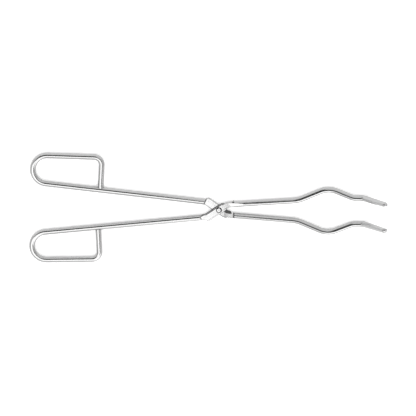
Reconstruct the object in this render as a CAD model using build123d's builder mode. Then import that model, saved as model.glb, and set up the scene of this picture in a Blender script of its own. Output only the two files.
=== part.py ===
from build123d import *
import math
import os

os.makedirs("parts", exist_ok=True)

# Crucible tongs lying flat on a bench. Units are mm and degrees.
# The origin is on the pivot axis at bench level, +X runs to the jaw tips and
# +Z points up. A half width is a distance from the middle line of the tongs.

# Round rod that both arms are bent from
rod_dia = 5.0
rod_radius = rod_dia / 2
rod_plane = rod_radius

# Handle bows: each is a D with its free end butted on the shank.
# The two arms are bent by hand, so their bows and shanks differ a little.
rear_bow_reach = 156.2
rear_bow_length = 58.0
front_bow_reach = 157.1
front_bow_length = 57.1
bow_foot_lean = 1.4
bow_half_width = 44.7
bow_flare_deg = 1.3
bow_end_fullness = 0.98
bow_corner_bend = 6.5
butt_stand_off = 0.3

# Straight shanks and the slanted stretch that crosses at the pivot
handle_knee_run = 9.24
handle_slope_deg = 6.16
handle_knee_bend = 20.0
cross_deg = 35.0
jaw_knee_run = 6.46
jaw_slope_deg = 4.25
jaw_knee_bend = 12.0
rear_jaw_shank = 59.24
front_jaw_shank = 60.2

# Jaw bow that goes round the crucible
jaw_top_run = 85.14
jaw_bow_half_width = 19.95
jaw_start_bend = 24.0
jaw_top_bend = 18.0
jaw_fall_run = 20.75
jaw_fall_deg = 22.3
jaw_end_bend = 14.0

# Tip bent up out of the plane of the tongs
tip_heel_run = 7.65
tip_toe_in_deg = 0.9
tip_run = 18.2
tip_rise_deg = 44.5
tip_bend = 12.0

# Gripping flat: both flats lie in one plane through the pivot axis when shut
shut_half_deg = 4.15
grip_heel_run = 1.5
tooth_pitch = 1.8
tooth_width = 0.9
tooth_depth = 0.35
tooth_count = 11
first_tooth = 2.0

# Half-lap at the crossing
shoulder_run = 12.9
shoulder_lean_deg = 20.0
shoulder_round = 0.9
lap_gap = 0.08
lap_sink = 0.6
lap_flat_back = 17.5
lap_flat_front = 10.0
run_out_back = 1.0
run_out_front = 10.0
plate_back = 14.2
plate_front = 6.5
plate_width = 7.1
plate_corner = 3.0
plate_edge_round = 1.2

# Rivet through both laps
rivet_dia = 3.0
rivet_head_dia = 4.8
rivet_crown_dia = 3.2
rivet_head_height = 0.55
rivet_rim_height = 0.2
rivet_turn_clearance = 0.05
rivet_seat_clearance = 0.02
head_lift = 0.05

# How far a cutter reaches past the rod
beyond = 4 * rod_dia


def slope(degrees):
    return math.tan(math.radians(degrees))


def half_widths(bow_left, bow_right, foot, jaw_shank):
    """Half width of the rod's centre line at each corner of one arm."""
    knee = handle_knee_run * slope(cross_deg)
    jaw_knee = jaw_knee_run * slope(cross_deg)
    jaw_start = jaw_knee + jaw_shank * slope(jaw_slope_deg)
    jaw_end = jaw_bow_half_width - jaw_fall_run * slope(jaw_fall_deg)
    return {
        "foot": knee + (-handle_knee_run - foot) * slope(handle_slope_deg),
        "bow_right": bow_half_width,
        "bow_corner": bow_half_width + (bow_right - bow_left) * slope(bow_flare_deg),
        "heel": knee + (-handle_knee_run - bow_left) * slope(handle_slope_deg),
        "knee": knee,
        "jaw_knee": jaw_knee,
        "jaw_start": jaw_start,
        "jaw_top": jaw_bow_half_width,
        "jaw_end": jaw_end,
        "tip_heel": jaw_end - tip_heel_run * slope(tip_toe_in_deg),
        "tip_end": jaw_end - (tip_heel_run + tip_run) * slope(tip_toe_in_deg),
    }


def bend_arm(side, lap, bow_reach, bow_length, jaw_shank):
    """One arm. Side is +1 for a handle on +Y, lap is +1 for a lap on top."""
    # Corners of the rod's centre line, from the foot of the bow to the tip
    bow_left = -bow_reach
    bow_right = bow_left + bow_length
    foot = bow_right - bow_foot_lean
    jaw_start = jaw_knee_run + jaw_shank
    jaw_top = jaw_knee_run + jaw_top_run
    jaw_end = jaw_top + jaw_fall_run
    tip_heel = jaw_end + tip_heel_run
    tip_end = tip_heel + tip_run
    half = half_widths(bow_left, bow_right, foot, jaw_shank)
    bow_end_turns = slope((90 + bow_flare_deg) / 2) + slope((90 - handle_slope_deg) / 2)
    bow_end_bend = bow_end_fullness * (half["bow_corner"] - half["heel"]) / bow_end_turns
    rod_points = [
        (foot, side * (half["foot"] + rod_radius + butt_stand_off)),
        (bow_right, side * half["bow_right"]),
        (bow_left, side * half["bow_corner"]),
        (bow_left, side * half["heel"]),
        (-handle_knee_run, side * half["knee"]),
        (jaw_knee_run, -side * half["jaw_knee"]),
        (jaw_start, -side * half["jaw_start"]),
        (jaw_top, -side * half["jaw_top"]),
        (jaw_end, -side * half["jaw_end"]),
        (tip_heel, -side * half["tip_heel"]),
        (tip_end, -side * half["tip_end"], tip_run * slope(tip_rise_deg)),
    ]
    rod_bends = [
        bow_corner_bend,
        bow_end_bend,
        bow_end_bend,
        handle_knee_bend,
        jaw_knee_bend,
        jaw_start_bend,
        jaw_top_bend,
        jaw_end_bend,
        tip_bend,
    ]

    # Directions at the crossing, at the tip and across the gripping flat
    cross_angle = math.radians(-side * cross_deg)
    cross_dir = Vector(math.cos(cross_angle), math.sin(cross_angle), 0)
    across_dir = cross_dir.cross(Vector(0, 0, 1))
    tip_dir = Vector(1, -side * slope(shut_half_deg), slope(tip_rise_deg)).normalized()
    shut_angle = math.radians(-side * shut_half_deg)
    grip_normal = Vector(-math.sin(shut_angle), math.cos(shut_angle), 0) * side
    grip_start = tip_heel + grip_heel_run
    grip_far = tip_end + beyond

    lap_face = rod_plane + lap * lap_gap / 2

    # Half of the rod that is cut away so that the other arm can pass.
    # The shoulder on the handle side leans with the bend there, the one on the
    # jaw side is square to the tongs, and both have a rounded foot.
    shoulder_half = half["knee"] + (shoulder_run - handle_knee_run) * slope(handle_slope_deg)
    lean = side * slope(shoulder_lean_deg)
    lean_at_side = (beyond - side * shoulder_half) * lean
    lean_past_side = (-beyond - side * shoulder_half) * lean
    with BuildPart() as relief:
        with BuildSketch(Plane.XY.offset(lap_face)):
            Polygon(
                (-shoulder_run - lean_past_side, -beyond),
                (-shoulder_run - lean_at_side, beyond),
                (shoulder_run, beyond),
                (shoulder_run, -beyond),
                align=None,
            )
        extrude(amount=-lap * beyond)
        foot_edges = relief.edges().group_by(Axis.Z)[0 if lap < 0 else -1]
        fillet(foot_edges, radius=shoulder_round)

    # Plate at the lap, where the rod was forged flat and so grew wider
    lap_plane = Plane(origin=(0, 0, lap_face), x_dir=cross_dir, z_dir=(0, 0, lap))
    with BuildPart() as plate:
        with BuildSketch(lap_plane):
            with Locations(((plate_front - plate_back) / 2, 0)):
                RectangleRounded(plate_front + plate_back, plate_width, plate_corner)
        extrude(amount=rod_radius - lap_sink - lap_gap / 2)
        outer_edges = plate.edges().group_by(Axis.Z)[-1 if lap > 0 else 0]
        fillet(outer_edges, radius=plate_edge_round)

    with BuildPart() as arm:
        # Rod from the free end of the bow round to the tip
        with BuildLine(Plane.XY.offset(rod_plane)) as centre:
            FilletPolyline(*rod_points, radius=rod_bends)
        with BuildSketch(Plane(origin=centre.line @ 0, z_dir=centre.line % 0)):
            Circle(rod_radius)
        sweep(path=centre.line)

        # Free end of the bow butted on the shank
        with BuildSketch(Plane(origin=centre.line @ 0, z_dir=-(centre.line % 0))):
            Circle(rod_radius)
        extrude(amount=rod_radius + butt_stand_off)

        # Rounded end of the tip
        with Locations(centre.line @ 1):
            Sphere(rod_radius)

        # Widened plate at the lap
        add(plate.part)

        # Outer side: forged down below the crest, with a short run-out towards
        # the handle and a long one towards the jaw
        crossing_plane = Plane(origin=(0, 0, rod_plane), x_dir=cross_dir, z_dir=across_dir)
        with BuildSketch(crossing_plane):
            Polygon(
                (-lap_flat_back - run_out_back, lap * rod_radius),
                (-lap_flat_back, lap * (rod_radius - lap_sink)),
                (lap_flat_front, lap * (rod_radius - lap_sink)),
                (lap_flat_front + run_out_front, lap * rod_radius),
                (lap_flat_front + run_out_front, lap * beyond),
                (-lap_flat_back - run_out_back, lap * beyond),
                align=None,
            )
        extrude(amount=beyond, both=True, mode=Mode.SUBTRACT)

        # Inner side
        add(relief.part, mode=Mode.SUBTRACT)

        # Gripping flat on the inner side of the tip
        with BuildSketch(Plane.XY):
            Polygon(
                (grip_start, -side * grip_start * slope(shut_half_deg)),
                (grip_far, -side * grip_far * slope(shut_half_deg)),
                (grip_far, side * rod_dia),
                (grip_start, side * rod_dia),
                align=None,
            )
        extrude(amount=grip_far, mode=Mode.SUBTRACT)

        # Teeth cut across the gripping flat
        tooth_start = Vector(
            grip_start,
            -side * grip_start * slope(shut_half_deg),
            rod_plane + grip_heel_run * slope(tip_rise_deg),
        )
        tooth_plane = Plane(origin=tooth_start, x_dir=tip_dir, z_dir=tip_dir.cross(grip_normal))
        with BuildSketch(tooth_plane) as teeth:
            with Locations(*[(first_tooth + i * tooth_pitch, 0) for i in range(tooth_count)]):
                Polygon(
                    (-tooth_width, tooth_depth),
                    (0, -tooth_depth),
                    (tooth_width, tooth_depth),
                    align=None,
                )
        extrude(amount=rod_dia, both=True, mode=Mode.SUBTRACT)

        # Rivet hole
        bore_clearance = rivet_turn_clearance if lap > 0 else rivet_seat_clearance
        with BuildSketch(Plane.XY):
            Circle(rivet_dia / 2 + bore_clearance)
        extrude(amount=rod_dia, mode=Mode.SUBTRACT)
    return arm


# Rear arm: handle on +Y, jaw on -Y, lap underneath
rear_arm = bend_arm(1, -1, rear_bow_reach, rear_bow_length, rear_jaw_shank)
rear_arm.part.label = "rear_arm"
export_step(rear_arm.part, "parts/rear_arm.step")

# Front arm: handle on -Y, jaw on +Y, lap on top
front_arm = bend_arm(-1, 1, front_bow_reach, front_bow_length, front_jaw_shank)
front_arm.part.label = "front_arm"
export_step(front_arm.part, "parts/front_arm.step")

# Pivot rivet: low bevelled heads that stay within the crests of the rod
low_seat = lap_sink
high_seat = rod_dia - lap_sink + head_lift
rivet_bottom = low_seat - rivet_head_height
rivet_top = high_seat + rivet_head_height

with BuildPart() as pivot_rivet:
    with BuildSketch(Plane.XZ):
        Polygon(
            (0, rivet_bottom),
            (rivet_crown_dia / 2, rivet_bottom),
            (rivet_head_dia / 2, low_seat - rivet_rim_height),
            (rivet_head_dia / 2, low_seat),
            (rivet_dia / 2, low_seat),
            (rivet_dia / 2, high_seat),
            (rivet_head_dia / 2, high_seat),
            (rivet_head_dia / 2, high_seat + rivet_rim_height),
            (rivet_crown_dia / 2, rivet_top),
            (0, rivet_top),
            align=None,
        )
    revolve(axis=Axis.Z)
pivot_rivet.part.label = "pivot_rivet"
export_step(pivot_rivet.part, "parts/pivot_rivet.step")
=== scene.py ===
import bpy
import math
import numpy as np
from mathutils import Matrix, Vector


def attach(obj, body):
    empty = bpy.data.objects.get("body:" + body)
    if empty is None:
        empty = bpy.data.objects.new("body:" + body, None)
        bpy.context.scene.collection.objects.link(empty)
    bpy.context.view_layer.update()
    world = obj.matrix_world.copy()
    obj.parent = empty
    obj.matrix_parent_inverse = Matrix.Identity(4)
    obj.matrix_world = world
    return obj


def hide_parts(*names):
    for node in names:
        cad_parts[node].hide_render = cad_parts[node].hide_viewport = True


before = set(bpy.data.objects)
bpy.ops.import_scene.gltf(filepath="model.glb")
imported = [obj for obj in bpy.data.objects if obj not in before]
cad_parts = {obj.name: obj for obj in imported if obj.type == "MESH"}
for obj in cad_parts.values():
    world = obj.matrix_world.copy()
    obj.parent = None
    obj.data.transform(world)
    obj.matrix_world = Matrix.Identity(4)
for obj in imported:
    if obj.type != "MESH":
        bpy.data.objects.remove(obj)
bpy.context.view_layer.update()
print("frame loaded:", sorted(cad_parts))
mm = 0.001


class Flow:
    # a socket of a node tree that takes Python sums and products
    def __init__(self, tree, socket=None):
        self.tree = tree
        self.socket = socket

    def feed(self, target, value):
        if isinstance(value, Flow):
            self.tree.links.new(value.socket, target)
        else:
            target.default_value = value

    def node(self, kind, settings=None, values=None, output=0):
        made = self.tree.nodes.new(kind)
        for key, value in (settings or {}).items():
            setattr(made, key, value)
        for key, value in (values or {}).items():
            self.feed(made.inputs[key], value)
        if not made.outputs:
            return None
        return Flow(self.tree, made.outputs[output])

    def math(self, operation, *values):
        return self.node("ShaderNodeMath", {"operation": operation}, dict(enumerate(values)))

    def isVector(self):
        return self.socket.type in ("VECTOR", "RGBA")

    def pair(self, operation, first, second):
        if not self.isVector():
            return self.math(operation, first, second)
        both = [v if isinstance(v, (Flow, tuple)) else (v, v, v) for v in (first, second)]
        return self.node("ShaderNodeVectorMath", {"operation": operation}, dict(enumerate(both)))

    def __add__(self, other):
        return self.pair("ADD", self, other)

    def __radd__(self, other):
        return self.pair("ADD", other, self)

    def __sub__(self, other):
        return self.pair("SUBTRACT", self, other)

    def __rsub__(self, other):
        return self.pair("SUBTRACT", other, self)

    def __mul__(self, other):
        return self.pair("MULTIPLY", self, other)

    def __rmul__(self, other):
        return self.pair("MULTIPLY", other, self)

    def __truediv__(self, other):
        return self.pair("DIVIDE", self, other)

    def __rtruediv__(self, other):
        return self.pair("DIVIDE", other, self)

    def __pow__(self, other):
        return self.math("POWER", self, other)

    def absolute(self):
        return self.math("ABSOLUTE", self)

    def ramp(self, low, high):
        # 0 below low, 1 above high, smooth between; low above high turns it round
        if low > high:
            return 1.0 - self.ramp(high, low)
        values = {"Value": self, "From Min": low, "From Max": high}
        return self.node("ShaderNodeMapRange", {"interpolation_type": "SMOOTHSTEP"}, values)

    def between(self, low, high, edge):
        return self.ramp(low - edge, low + edge) * self.ramp(high + edge, high - edge)

    def mix(self, first, second):
        colours = any(isinstance(v, tuple) for v in (first, second))
        start = 6 if colours else 2  # the node's colour sockets come after its number sockets
        kind = "RGBA" if colours else "FLOAT"
        values = {0: self, start: first, start + 1: second}
        return self.node("ShaderNodeMix", {"data_type": kind}, values, output=2 if colours else 0)

    def parts(self):
        return [self.node("ShaderNodeSeparateXYZ", {}, {0: self}, output=i) for i in range(3)]


def newMaterial(name):
    material = bpy.data.materials.new(name)
    material.use_nodes = True
    material.node_tree.nodes.clear()
    return material, Flow(material.node_tree)


def slope(degrees):
    return math.tan(math.radians(degrees))


def smooth(x, low, high):
    t = np.clip((x - low) / (high - low), 0.0, 1.0)
    return t * t * (3.0 - 2.0 * t)


def band(x, low, high, soft):
    # 1 between low and high, with soft borders
    return smooth(x, low - soft, low + soft) * (1 - smooth(x, high - soft, high + soft))


steelLook = {
    "colour": (0.57, 0.57, 0.57),
    "colourSpread": 0.05,
    "roughness": 0.135,
    "roughnessSpread": 0.05,
    "lineStretch": (60.0, 9000.0, 9000.0),  # drawing lines run along the rod
    "patchStretch": (180.0, 400.0, 400.0),
    "lineDepth": 0.12,
    "patchDepth": 0.25,
    "bumpDistance": 0.00005,
    "paintedShade": 0.88,  # how dark the painted shade is in creases and under the other arm, 0 to 1
    "ringFrom": 2.3,  # painted shade ring round the rivet, mm from the pivot axis
    "ringTo": 2.5,
    "ringEdge": 0.1,
}
rivetChange = {"colour": (0.64, 0.64, 0.64), "roughness": 0.2, "ringFrom": 1.9}


def steel(name, look):
    material, net = newMaterial(name)
    place = net.node("ShaderNodeAttribute", {"attribute_name": "rodSpace"}, output="Vector")
    # painted shade: the shade mask and the ring round the rivet darken the base colour where shade
    # falls
    shadeMask = net.node("ShaderNodeAttribute", {"attribute_name": "shadeMask"}, output="Fac")
    lines = net.node(
        "ShaderNodeTexNoise",
        {},
        {"Vector": place * look["lineStretch"], "Scale": 1.0, "Detail": 3.0},
    )
    patches = net.node(
        "ShaderNodeTexNoise",
        {},
        {"Vector": place * look["patchStretch"], "Scale": 1.0, "Detail": 2.0},
    )
    x, y, z = net.node("ShaderNodeTexCoord", {}, {}, "Object").parts()
    fromAxis = (x * x + y * y) ** 0.5
    shadeRing = fromAxis.between(look["ringFrom"] * mm, look["ringTo"] * mm, look["ringEdge"] * mm)
    shadeFactor = 1.0 - shadeMask.math("MAXIMUM", shadeMask, shadeRing) * look["paintedShade"]
    tint = shadeFactor * (1.0 + (lines + patches - 1.0) * look["colourSpread"])
    red, green, blue = look["colour"]
    colour = net.node(
        "ShaderNodeCombineColor",
        {},
        {"Red": tint * red, "Green": tint * green, "Blue": tint * blue},
    )
    spread = look["roughnessSpread"]
    rough = look["roughness"] + (patches - 0.5) * (2.0 * spread) + (lines - 0.5) * spread
    distance = look["bumpDistance"]
    bump = net.node(
        "ShaderNodeBump",
        {},
        {"Strength": look["lineDepth"], "Distance": distance, "Height": lines},
    )
    wave = net.node(
        "ShaderNodeBump",
        {},
        {"Strength": look["patchDepth"], "Distance": distance, "Height": patches, "Normal": bump},
    )
    surface = net.node(
        "ShaderNodeBsdfPrincipled",
        {},
        {"Base Color": colour, "Metallic": 1.0, "Roughness": rough, "Normal": wave},
    )
    net.node("ShaderNodeOutputMaterial", {}, {"Surface": surface})
    return material


def meshObject(name, points, faces, space, shadeMask, material, sharpDegrees):
    # space is the place on the straightened rod, the shade mask how much painted shade lies there
    mesh = bpy.data.meshes.new(name)
    mesh.from_pydata([tuple(p) for p in points * mm], [], faces)
    mesh.update()
    attribute = mesh.attributes.new("rodSpace", "FLOAT_VECTOR", "POINT")
    attribute.data.foreach_set("vector", (space * mm).astype(np.float32).ravel())
    attribute = mesh.attributes.new("shadeMask", "FLOAT", "POINT")
    attribute.data.foreach_set("value", shadeMask.astype(np.float32).ravel())
    mesh.materials.append(material)
    mesh.polygons.foreach_set("use_smooth", [True] * len(mesh.polygons))
    mesh.set_sharp_from_angle(angle=math.radians(sharpDegrees))
    made = bpy.data.objects.new(name, mesh)
    bpy.context.scene.collection.objects.link(made)
    return made


def ringFaces(rings, count):
    # quads from ring to ring and one face over each end
    faces = []
    for i in range(rings - 1):
        for k in range(count):
            n = (k + 1) % count
            faces.append((i * count + k, i * count + n, (i + 1) * count + n, (i + 1) * count + k))
    faces.append(tuple(range(count - 1, -1, -1)))
    faces.append(tuple((rings - 1) * count + k for k in range(count)))
    return faces


# arms: lengths in mm, angles in degrees, half widths from the middle line of the tongs
armShape = {
    "rodRadius": 2.5,
    "bowLeft": -156.2,
    "bowRight": -98.2,
    "footLean": 1.4,  # how much further left the bow's free end meets the shank
    "bowHalfWidth": 44.7,
    "bowFlare": 1.3,
    "bowRightBend": 6.5,
    "bowEndFullness": 0.98,  # 1 leaves no straight piece at the bow's closed end
    "handleKnee": -9.24,
    "handleSlope": 6.16,
    "handleKneeBend": 20.0,
    "crossing": 35.0,
    "jawKnee": 6.46,
    "jawKneeBend": 12.0,
    "jawSlope": 4.25,
    "jawStart": 65.7,
    "jawTop": 91.6,
    "jawEnd": 112.35,
    "jawHalfWidth": 19.95,
    "jawFall": 22.3,
    "jawStartBend": 24.0,
    "jawTopBend": 18.0,
    "jawEndBend": 14.0,
    "tipKnee": 121.2,
    "tipEnd": 138.2,
    "tipRise": 46.46,
    "tipBend": 4.5,
    "toeIn": 0.9,
    "sharpAngle": 32.0,  # steeper edges than this stay sharp
}
frontChange = {"bowLeft": -157.1, "bowRight": -100.0, "jawStart": 66.65}  # bends of the front arm
# half-lap at the rivet; where there are two values, 1 is the upper arm and -1 the lower one
lapShape = {
    "nearX": 24.0,  # only this stretch of the rod is forged
    "nearY": 16.0,
    "shoulderBack": 12.25,
    "shoulderFront": 12.9,
    "shoulderLean": -20.0,
    "shoulderRound": 0.9,
    "gap": 0.1,
    "sink": 0.62,
    "flatBack": 16.6,
    "flatFront": 10.0,
    "runOutBack": 0.4,
    "runOutFront": 10.0,
    "plateBack": 14.2,
    "plateFront": {1: 6.9, -1: 10.4},
    "plateWidth": 7.1,
    "plateCorner": 3.0,
    "edgeRound": 1.3,
    "thinnest": 0.2,  # least square of the rod's half width at one height
}
# painted shade on the half-lap: on the plate's walls, in the shoulders' feet and under the other
# arm
lapShade = {
    "wall": {1: 0.95, -1: 0.55},  # painted shade on the plate's side walls
    "wallFrom": 0.3,  # of the edge's rounding
    "wallShare": 0.8,
    "heelAcross": (3.45, 4.35),  # painted shade line behind the plate, going on from the wall's shade: from the crossing's middle line
    "heelAlong": (12.6, 16.6),  # and from the pivot along it
    "heelSoft": (0.15, 0.3),
    "heel": 0.85,
    "edgeShadowFrom": 0.3,  # painted shadow on the lower arm beside the edges of the upper one
    "edgeShadowTo": 0.5,
    "edgeShadow": 0.8,
    "footHandle": 0.75,  # painted shade in the foot of each shoulder, from the shoulder inwards
    "footJaw": {1: 0.0, -1: 1.0},
    "footSoft": 0.2,
    "borderSoft": 0.05,
    "edgeShadowSoft": 0.1,
    "underShadeFrom": 4.2,  # painted shade in the recess on the jaw side, under the upper arm
    "underShadeTo": 10.4,
    "underShadeSoft": 0.5,
    "underShadeFade": 0.45,
    "underShadeFadeTo": 9.4,
    "underShadeEdge": 1.05,  # the darkest part of it, from the middle line outwards
    "underShadeEdgeSoft": 0.3,
}
# groove where a bow's free end meets the shank
seamShape = {"depth": 0.35, "bottom": 0.2, "width": 0.5, "inset": 0.1, "reach": 7.5}
gripShape = {
    "shutHalf": 4.15,
    "start": 121.5,
    "pitch": 0.9,
    "depth": 0.28,
    "notchHalf": 0.32,  # of the pitch
    "firstTooth": 1.0,
    "toothStretch": 19.5,
    "sink": 0.02,
    "heelRise": (-0.2, 0.2),  # painted shade behind the first tooth, from the start of the flat
    "heelFall": (0.6, 1.2),
    "tipShadeRise": (-0.2, 0.6),  # painted shade at the very tip, from the start of its round end
    "tipShade": 0.6,
}
ringShape = {
    "points": 88,  # round the rod
    "lineStep": 0.1,  # of the centre line, before the rings are set
    "pace": 0.8,  # mm from ring to ring on plain stretches
    "lapPace": 0.2,
    "lapBefore": 6.0,
    "lapAfter": 3.0,
    "shoulderPace": 0.05,
    "shoulderReach": 1.8,
    "endPace": 0.1,  # at the bow's free end and on the grip
    "endReach": 5.0,
    "gripBefore": 1.0,
    "capRings": 24,
    "capEnd": 0.002,  # of the rod's radius
}


def cornerPoints(a, side):
    knee = -a["handleKnee"] * slope(a["crossing"])
    footX = a["bowRight"] - a["footLean"]
    foot = knee + (a["handleKnee"] - footX) * slope(a["handleSlope"])
    heel = knee + (a["handleKnee"] - a["bowLeft"]) * slope(a["handleSlope"])
    corner = a["bowHalfWidth"] + (a["bowRight"] - a["bowLeft"]) * slope(a["bowFlare"])
    jawKnee = a["jawKnee"] * slope(a["crossing"])
    start = jawKnee + (a["jawStart"] - a["jawKnee"]) * slope(a["jawSlope"])
    end = a["jawHalfWidth"] - (a["jawEnd"] - a["jawTop"]) * slope(a["jawFall"])
    tipKnee = end - (a["tipKnee"] - a["jawEnd"]) * slope(a["toeIn"])
    tip = end - (a["tipEnd"] - a["jawEnd"]) * slope(a["toeIn"])
    height = (a["tipEnd"] - a["tipKnee"]) * slope(a["tipRise"])
    z = a["rodRadius"]
    turns = slope((90 + a["bowFlare"]) / 2) + slope((90 - a["handleSlope"]) / 2)
    leftBend = a["bowEndFullness"] * (corner - heel) / turns
    points = [
        (footX, side * foot, z),  # on the shank's axis, so the free end is let into the shank
        (a["bowRight"], side * a["bowHalfWidth"], z),
        (a["bowLeft"], side * corner, z),
        (a["bowLeft"], side * heel, z),
        (a["handleKnee"], side * knee, z),
        (a["jawKnee"], -side * jawKnee, z),
        (a["jawStart"], -side * start, z),
        (a["jawTop"], -side * a["jawHalfWidth"], z),
        (a["jawEnd"], -side * end, z),
        (a["tipKnee"], -side * tipKnee, z),
        (a["tipEnd"], -side * tip, z + height),
    ]
    bends = [
        a["bowRightBend"],
        leftBend,
        leftBend,
        a["handleKneeBend"],
        a["jawKneeBend"],
        a["jawStartBend"],
        a["jawTopBend"],
        a["jawEndBend"],
        a["tipBend"],
    ]
    return [np.array(p) for p in points], bends


def bentLine(points, bends, step):
    # places and directions at even steps along the straights and the round bends
    places, tangents = [], []

    def straight(a, b, last=False):
        count = max(1, int(np.linalg.norm(b - a) / step))
        for i in range(count + (1 if last else 0)):
            places.append(a + (b - a) * i / count)
            tangents.append((b - a) / np.linalg.norm(b - a))

    at = points[0]
    for i, radius in enumerate(bends):
        before, corner, after = points[i], points[i + 1], points[i + 2]
        u = (corner - before) / np.linalg.norm(corner - before)
        v = (after - corner) / np.linalg.norm(after - corner)
        turn = math.acos(np.clip(u @ v, -1, 1))
        reach = radius * math.tan(turn / 2)
        start = corner - u * reach
        straight(at, start)
        inward = (v - u * (u @ v)) / math.sin(turn)
        count = max(4, int(radius * turn / step))
        for k in range(count):
            angle = turn * k / count
            forward = u * radius * math.sin(angle)
            places.append(start + forward + inward * radius * (1 - math.cos(angle)))
            tangents.append(u * math.cos(angle) + inward * math.sin(angle))
        at = corner + v * reach
    straight(at, points[-1], True)
    return np.array(places), np.array(tangents)


def runAlong(places):
    gaps = np.linalg.norm(np.diff(places, axis=0), axis=1)
    return np.concatenate([[0.0], np.cumsum(gaps)])


def resample(places, tangents, stops):
    run = runAlong(places)
    at = np.stack([np.interp(stops, run, places[:, k]) for k in range(3)], 1)
    way = np.stack([np.interp(stops, run, tangents[:, k]) for k in range(3)], 1)
    way /= np.linalg.norm(way, axis=1)[:, None]
    return at, way


def ringStops(places, a, v):
    # where along the rod the rings sit: close together where the shape changes fast
    run = runAlong(places)
    x = places[:, 0]
    middle = np.abs(x) < lapShape["nearX"]  # elsewhere the bow passes the same x again
    tip = x > a["jawTop"]
    shoulders = [-lapShape["shoulderBack"], lapShape["shoulderFront"]]
    back, front = np.interp(shoulders, x[middle], run[middle])
    gripRun = np.interp(gripShape["start"], x[tip], run[tip])
    stops = [0.0]
    while stops[-1] < run[-1]:
        s = stops[-1]
        pace = v["pace"]
        if back - v["lapBefore"] < s < front + v["lapAfter"]:
            pace = v["lapPace"]
        if min(abs(s - back), abs(s - front)) < v["shoulderReach"]:
            pace = v["shoulderPace"]
        if s < v["endReach"] or s > gripRun - v["gripBefore"]:
            pace = v["endPace"]
        stops.append(s + pace)
    stops[-1] = run[-1]
    return np.array(stops), gripRun


def sweep(centre, way, radius, angle):
    # rings of points round the centre line
    lateral = np.cross(np.array([0.0, 0.0, 1.0]), way)
    lateral /= np.linalg.norm(lateral, axis=1)[:, None]
    lift = np.cross(way, lateral)
    u = radius[:, None] * np.cos(angle)[None, :]
    w = radius[:, None] * np.sin(angle)[None, :]
    return centre[:, None, :] + u[..., None] * lateral[:, None, :] + w[..., None] * lift[:, None, :]


def fromShoulders(x, y, a, lap):
    # how far a point lies past each shoulder; y counts towards the arm's own handle
    knee = -a["handleKnee"] * slope(a["crossing"])
    shoulderHalf = knee + (lap["shoulderBack"] + a["handleKnee"]) * slope(a["handleSlope"])
    lean = (y - shoulderHalf) * slope(lap["shoulderLean"])
    fromBack = (x + lap["shoulderBack"] + lean) * math.cos(math.radians(lap["shoulderLean"]))
    return fromBack, lap["shoulderFront"] - x


def lapLimits(along, inside, r, lap):
    # the heights between which the rod is left, from its middle plane outwards
    rounded = lap["shoulderRound"]
    foot = np.clip(rounded - inside, 0, rounded)
    inner = lap["gap"] / 2 - rounded + np.sqrt(rounded**2 - foot**2)
    inner = np.where(inside > 0, inner, -2 * r)
    rampBack = (-along - lap["flatBack"]) / lap["runOutBack"]
    rampFront = (along - lap["flatFront"]) / lap["runOutFront"]
    outer = r - lap["sink"] * (1 - np.clip(np.maximum(rampBack, rampFront), 0, 1))
    return inner, outer


def plateSpan(along, lap, lapSide):
    # half width of the lap plate: a rounded rectangle along the crossing
    corner = lap["plateCorner"]
    fromEnd = np.minimum(along + lap["plateBack"], lap["plateFront"][lapSide] - along)
    within = corner - np.clip(fromEnd, 0, corner)
    half = lap["plateWidth"] / 2 - corner + np.sqrt(np.maximum(corner**2 - within**2, 0))
    return np.where(fromEnd > 0, half, 0.0)


def recessShade(x, y, inside, jawSide, lapSide, a, g):
    # painted shade on the face that the other arm covers; y counts towards the arm's own handle
    reach = np.where(jawSide, g["footJaw"][lapSide], g["footHandle"])
    soft = g["footSoft"]
    foot = smooth(inside, 0.0, g["borderSoft"]) * (1 - smooth(inside - reach, -soft, soft))
    # painted shadow beside the other arm's plate
    crossing = math.radians(a["crossing"])
    beside = x * math.sin(crossing) - y * math.cos(crossing) - lapShape["plateWidth"] / 2
    edgeShadow = smooth(beside, -g["edgeShadowSoft"], 0.0) * (1 - smooth(beside, g["edgeShadowFrom"], g["edgeShadowTo"]))
    # painted shade on the jaw side, under the upper arm, darkest along the inner edge
    steep = slope(a["crossing"])
    bend = np.maximum(x - a["jawKnee"], 0)
    afterKnee = a["jawKnee"] * steep + bend * slope(a["jawSlope"])
    inward = y + np.where(bend > 0, afterKnee, x * steep)
    underShade = band(x, g["underShadeFrom"], g["underShadeTo"], g["underShadeSoft"])
    fade = g["underShadeFade"] * (1 - smooth(x, g["underShadeFrom"], g["underShadeFadeTo"]))
    soft = g["underShadeEdgeSoft"]
    edge = smooth(inward, g["underShadeEdge"] - soft, g["underShadeEdge"] + soft)
    return np.maximum(np.maximum(foot, edgeShadow * g["edgeShadow"]), underShade * np.maximum(fade, edge))


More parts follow.
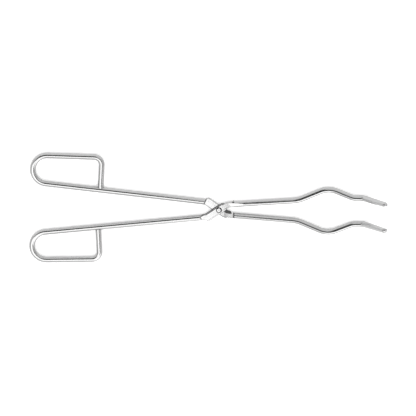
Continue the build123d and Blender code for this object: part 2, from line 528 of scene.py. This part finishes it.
def lapSection(p, centre, side, lapSide, a, lap, g):
    # flattens the rod to one half at the crossing and widens it there to a plate
    r = a["rodRadius"]
    crossing = math.radians(a["crossing"])
    cosine, sine = math.cos(crossing), math.sin(crossing)
    x, y = p[..., 0], p[..., 1]
    along = x * cosine - side * y * sine
    off = side * x * sine + y * cosine  # sideways from the crossing's middle line
    near = (np.abs(centre[:, 0]) < lap["nearX"]) & (np.abs(centre[:, 1]) < lap["nearY"])
    near = near[:, None]
    fromBack, fromFront = fromShoulders(x, side * y, a, lap)
    inside = np.minimum(fromBack, fromFront)
    h = (p[..., 2] - r) * lapSide  # up towards the outer face
    inner, outer = lapLimits(along, inside, r, lap)
    clamped = np.clip(h, inner, outer)

    # each point of a ring moves outwards by its share of the plate's half width
    tiny = 0.01
    crest, edge = r - lap["sink"], lap["edgeRound"]
    span = plateSpan(along, lap, lapSide)
    fromOuter = np.clip(crest - clamped, 0, edge)
    rim = span - edge + np.sqrt(edge**2 - (edge - fromOuter) ** 2)
    flank = (clamped >= lap["gap"] / 2 - tiny) & (clamped <= crest + tiny) & (inside > 0) & near
    sideways = (p - centre[:, None, :]) * np.array([1.0, 1.0, 0.0])
    half = np.sqrt(np.maximum(r * r - clamped**2, lap["thinnest"]))
    share = np.clip(np.linalg.norm(sideways, axis=-1) / half, 0, 1)
    middle = off - (side * sideways[..., 0] * sine + sideways[..., 1] * cosine)
    outward = np.sign(off - middle)
    # the lower plate follows the rod's bend on the jaw side
    straight = np.where((lapSide < 0) & (along > 0), 0.0, middle)
    target = middle + share * (outward * rim - straight)
    grown = np.where(flank & (outward * target > outward * off), target - off, 0.0)
    p = p + grown[..., None] * np.array([side * sine, cosine, 0.0])
    p[..., 2] = np.where(near, r + lapSide * clamped, p[..., 2])

    recess = recessShade(p[..., 0], side * p[..., 1], inside, fromFront < fromBack, lapSide, a, g)
    paintedShade = np.where((clamped > h + tiny) & near, recess, 0.0)
    wall = (span > 0) & flank & (fromOuter > g["wallFrom"] * edge) & (share > g["wallShare"])
    paintedShade = np.maximum(paintedShade, np.where(wall, g["wall"][lapSide], 0.0))
    # painted shade line that carries the dark of the plate's edge on to the shank
    acrossSoft, alongSoft = g["heelSoft"]
    heel = band(-side * off, *g["heelAcross"], acrossSoft)
    heel = heel * band(-along, *g["heelAlong"], alongSoft)
    return p, np.maximum(paintedShade, np.where(h > 0, heel * g["heel"], 0.0))


def seamGroove(p, centre, runs, foot, side, a, seam):
    # groove round the free end of the bow, next to the shank it is let into
    r = a["rodRadius"]
    lean = math.radians(a["handleSlope"])
    shankNormal = np.array([math.sin(lean), side * math.cos(lean), 0.0])
    off = (p - foot) @ shankNormal
    gap = np.hypot(off, p[..., 2] - r) - r
    groove = (1 - smooth(gap, seam["bottom"], seam["width"])) * (runs < seam["reach"])[:, None]
    p = p - (groove * seam["depth"] / r)[..., None] * (p - centre[:, None, :])
    # painted shade in the groove
    return p, groove * (gap > -seam["inset"])


def gripCut(p, runs, gripRun, tipRun, side, grip):
    # flat with fine teeth on the inner side of the tip
    shut = math.radians(-side * grip["shutHalf"])
    normal = np.array([-math.sin(shut), math.cos(shut), 0.0]) * side
    past = p @ normal + grip["sink"]
    into = runs - gripRun
    phase = np.mod((into - grip["firstTooth"]) / grip["pitch"], 1.0)
    notch = grip["depth"] * np.clip(1 - np.abs(phase - 0.5) / grip["notchHalf"], 0, 1)
    within = (into > grip["firstTooth"]) & (into < grip["firstTooth"] + grip["toothStretch"])
    notch = np.where(within, notch, 0.0)
    over = np.maximum(past + notch[:, None], 0.0)
    over = np.where((into > 0)[:, None], over, 0.0)
    # painted shade at the flat's start and at the round end of the tip
    heel = smooth(into, *grip["heelRise"]) * (1 - smooth(into, *grip["heelFall"]))
    tipDark = smooth(runs - tipRun, *grip["tipShadeRise"]) * grip["tipShade"]
    paintedShade = np.where(over > grip["sink"], np.maximum(heel, tipDark)[:, None], 0.0)
    return p - over[..., None] * normal, paintedShade


def arm(name, side, lapSide, material, a):
    # side 1 has its handle at positive y, lapSide 1 lies on top at the crossing
    v = ringShape
    points, bends = cornerPoints(a, side)
    places, tangents = bentLine(points, bends, v["lineStep"])
    stops, gripRun = ringStops(places, a, v)
    centre, way = resample(places, tangents, stops)
    r = a["rodRadius"]
    # rounded end of the tip
    turns = np.linspace(0, math.pi / 2, v["capRings"])[1:]
    capCentre = centre[-1] + way[-1] * (r * np.sin(turns))[:, None]
    centre = np.concatenate([centre, capCentre])
    way = np.concatenate([way, np.repeat(way[-1:], len(turns), 0)])
    runs = np.concatenate([stops, stops[-1] + r * np.sin(turns)])
    capRadius = r * np.maximum(np.cos(turns), v["capEnd"])
    radius = np.concatenate([np.full(len(stops), r), capRadius])
    angle = np.linspace(0, 2 * math.pi, v["points"], endpoint=False)
    p = sweep(centre, way, radius, angle)
    p, seamShade = seamGroove(p, centre, runs, points[0], side, a, seamShape)
    p, lapDark = lapSection(p, centre, side, lapSide, a, lapShape, lapShade)
    p, gripShade = gripCut(p, runs, gripRun, stops[-1], side, gripShape)
    # painted shade of the arm: in the seam's groove, on the half-lap and on the grip
    shadeMask = np.maximum(np.maximum(seamShade, lapDark), gripShade)

    rings, count = p.shape[:2]
    around = np.repeat(angle[None, :], rings, 0)
    runGrid = np.repeat(runs[:, None], count, 1)
    space = np.stack([runGrid, r * np.cos(around), r * np.sin(around)], -1)
    flatPoints, flatSpace = p.reshape(-1, 3), space.reshape(-1, 3)
    faces = ringFaces(rings, count)
    return meshObject(name, flatPoints, faces, flatSpace, shadeMask, material, a["sharpAngle"])


# rivet: a plain shank with a low crowned head at each end
rivetShape = {
    "radius": 1.5,
    "headRadius": 2.38,
    "headHeight": 0.54,
    "rimRound": 0.16,
    "crown": 9.0,  # power of the crown's fall: 2 is a round dome, more is flatter in the middle
    "crownSteps": 24,
    "middle": 0.002,  # radius of the small face on top
    "ringRadius": 1.7,  # painted shade from here outwards, round the head's rim
    "ringSoft": 0.1,
    "lowSeat": 0.6,
    "highSeat": 4.45,
    "segments": 96,
    "sharpAngle": 35.0,
}


def rivet(name, material, v):
    # the profile runs from the lower crown outwards, up the shank and back in
    def head(seat, way):
        rows = []
        for i in range(v["crownSteps"] + 1):
            x = v["headRadius"] * i / v["crownSteps"]
            drop = (v["headHeight"] - v["rimRound"]) * (x / v["headRadius"]) ** v["crown"]
            rows.append((x, seat + way * (v["headHeight"] - drop)))
        rows.append((v["headRadius"], seat))
        return rows

    low = head(v["lowSeat"], -1)
    high = head(v["highSeat"], 1)
    profile = low + [(v["radius"], v["lowSeat"]), (v["radius"], v["highSeat"])] + high[::-1]
    points, space = [], []
    for x, z in profile:
        for k in range(v["segments"]):
            t = 2 * math.pi * k / v["segments"]
            out = max(x, v["middle"])
            points.append((out * math.cos(t), out * math.sin(t), z))
            space.append((z, x * math.cos(t), x * math.sin(t)))
    points = np.array(points)
    fromAxis = np.hypot(points[:, 0], points[:, 1])
    # painted shade round the rim of each head
    shadeMask = smooth(fromAxis, v["ringRadius"] - v["ringSoft"], v["ringRadius"] + v["ringSoft"])
    faces = ringFaces(len(profile), v["segments"])
    return meshObject(name, points, faces, np.array(space), shadeMask, material, v["sharpAngle"])


armSteel = steel("armSteel", steelLook)
rivetSteel = steel("rivetSteel", dict(steelLook, **rivetChange))
rearArm = arm("rearArmRod", 1, -1, armSteel, armShape)
frontArm = arm("frontArmRod", -1, 1, armSteel, dict(armShape, **frontChange))
pin = rivet("rivetPin", rivetSteel, rivetShape)
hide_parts("rear_arm")
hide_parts("front_arm")
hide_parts("pivot_rivet")
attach(rearArm, "rear")
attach(pin, "rear")
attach(frontArm, "front")
print("arms and rivet made:", len(rearArm.data.vertices), "points in an arm")

# lengths in metres; levels are the brightness that the steel reflects
studio = {
    "floorSize": 6.0,
    "floorDrop": 0.0002,
    "floorColour": (0.86, 0.86, 0.86, 1.0),
    "floorLift": 0.35,
    "lampHeight": 1.6,
    "lampSize": 1.4,
    "lampPower": 3.0,
    "wall": 0.9,
    "skirt": 0.72,
    "dark": 0.05,
    "bright": 1.9,
    "sideDark": 0.4,
    "horizon": 0.05,  # directions lower than this count as this low
    "bandAcross": (-0.95, 0.1, 0.12),  # bright band overhead: from, to and softness of its edge
    "bandAlong": (-0.85, 0.85, 0.35),
    "skirtAcross": (-0.8, -1.1),
    "sideFrom": (0.8, 0.88),
    "sideHeight": (0.1, 0.5, 0.04),
    "cardHeight": 0.6,
    "stripWidth": 0.55,
    "stripPath": ((-0.6, 0.26), (0.008, 0.25), (0.03, -0.08), (0.35, -0.1)),
    "brightCard": (0.03, 1.2, -2.4, -0.4),  # left, right, near and far edge
}
white = (1, 1, 1, 1)


def stageObject(name, data):
    made = bpy.data.objects.new(name, data)
    bpy.context.scene.collection.objects.link(made)
    return made


def makeFloor(s):
    h, z = s["floorSize"] / 2, -s["floorDrop"]
    mesh = bpy.data.meshes.new("floor")
    corners = [(-h, -h, z), (h, -h, z), (h, h, z), (-h, h, z)]
    mesh.from_pydata(corners, [], [(0, 1, 2, 3)])
    material, net = newMaterial("floorPaint")
    paint = net.node("ShaderNodeBsdfDiffuse", {}, {"Color": s["floorColour"]})
    seen = net.node("ShaderNodeLightPath", {}, {}, "Is Camera Ray")
    glow = {"Color": white, "Strength": seen * s["floorLift"]}
    lift = net.node("ShaderNodeEmission", {}, glow)
    both = net.node("ShaderNodeAddShader", {}, {0: paint, 1: lift})
    net.node("ShaderNodeOutputMaterial", {}, {"Surface": both})
    mesh.materials.append(material)
    stageObject("floor", mesh)


def makeLamp(s):
    light = bpy.data.lights.new("overhead", "AREA")
    light.shape = "SQUARE"
    light.size = s["lampSize"]
    light.energy = s["lampPower"]
    lamp = stageObject("overhead", light)
    lamp.location = (0, 0, s["lampHeight"])
    lamp.visible_glossy = False


def makeWorld(s):
    world = bpy.data.worlds.new("studio")
    bpy.context.scene.world = world
    world.use_nodes = True
    world.node_tree.nodes.clear()
    net = Flow(world.node_tree)
    x, y, z = net.node("ShaderNodeTexCoord", {}, {}, "Generated").parts()
    high = z.math("MAXIMUM", z, s["horizon"])
    across = y / high
    along = x / high
    skirt = across.ramp(*s["skirtAcross"])
    lightBand = across.between(*s["bandAcross"]) * along.between(*s["bandAlong"])
    level = lightBand.mix(skirt.mix(s["wall"], s["skirt"]), s["bright"])
    sides = x.absolute().ramp(*s["sideFrom"]) * z.between(*s["sideHeight"])
    level = sides.mix(level, s["sideDark"])
    seen = net.node("ShaderNodeLightPath", {}, {}, "Is Camera Ray")
    shade = net.node("ShaderNodeBackground", {}, {"Color": white, "Strength": seen.mix(level, 1.0)})
    net.node("ShaderNodeOutputWorld", {}, {"Surface": shade})


def makeCard(name, points, faces, level):
    # glowing card that only reflections see
    mesh = bpy.data.meshes.new(name)
    mesh.from_pydata(points, [], faces)
    material, net = newMaterial(name + "Paint")
    paint = net.node("ShaderNodeEmission", {}, {"Color": white, "Strength": level})
    net.node("ShaderNodeOutputMaterial", {}, {"Surface": paint})
    mesh.materials.append(material)
    card = stageObject(name, mesh)
    card.visible_camera = False
    card.visible_diffuse = False
    card.visible_shadow = False


def makeCards(s):
    # the dark strip draws the dark line along the rods
    z = s["cardHeight"]
    half = s["stripWidth"] / 2
    points = [(x, y + way * half, z) for x, y in s["stripPath"] for way in (-1, 1)]
    faces = [(2 * i, 2 * i + 2, 2 * i + 3, 2 * i + 1) for i in range(len(s["stripPath"]) - 1)]
    makeCard("darkStrip", points, faces, s["dark"])
    left, right, near, far = s["brightCard"]
    corners = [(left, near, z), (right, near, z), (right, far, z), (left, far, z)]
    makeCard("brightCard", corners, [(0, 1, 2, 3)], s["bright"])


makeFloor(studio)
makeCards(studio)
makeLamp(studio)
makeWorld(studio)
print("studio ready")

cameraSetup = {
    "tilt": 17.0,
    "roll": 0.6,
    "distance": 3.0,
    "widthSeen": 0.3494,
    "aim": (-0.00924, 0.00125, 0.0025),
    "sensorWidth": 36.0,
    "clipEnd": 20.0,
}


def makeCamera(c):
    data = bpy.data.cameras.new("camera")
    data.sensor_width = c["sensorWidth"]
    data.lens = c["sensorWidth"] / 2 / (c["widthSeen"] / 2 / c["distance"])
    data.clip_end = c["clipEnd"]
    camera = bpy.data.objects.new("camera", data)
    tilt = math.radians(c["tilt"])
    toCamera = Vector((0.0, math.sin(tilt), math.cos(tilt)))
    right = Vector((1.0, 0.0, 0.0))
    upward = toCamera.cross(right)
    roll = math.radians(c["roll"])
    rolledRight = right * math.cos(roll) + upward * math.sin(roll)
    rolledUp = upward * math.cos(roll) - right * math.sin(roll)
    where = Vector(c["aim"]) + toCamera * c["distance"]
    matrix = camera.matrix_world
    for row in range(3):
        matrix[row][0] = rolledRight[row]
        matrix[row][1] = rolledUp[row]
        matrix[row][2] = toCamera[row]
        matrix[row][3] = where[row]
    camera.matrix_world = matrix
    bpy.context.scene.collection.objects.link(camera)
    bpy.context.scene.camera = camera


makeCamera(cameraSetup)
bpy.context.scene.view_settings.view_transform = "Standard"
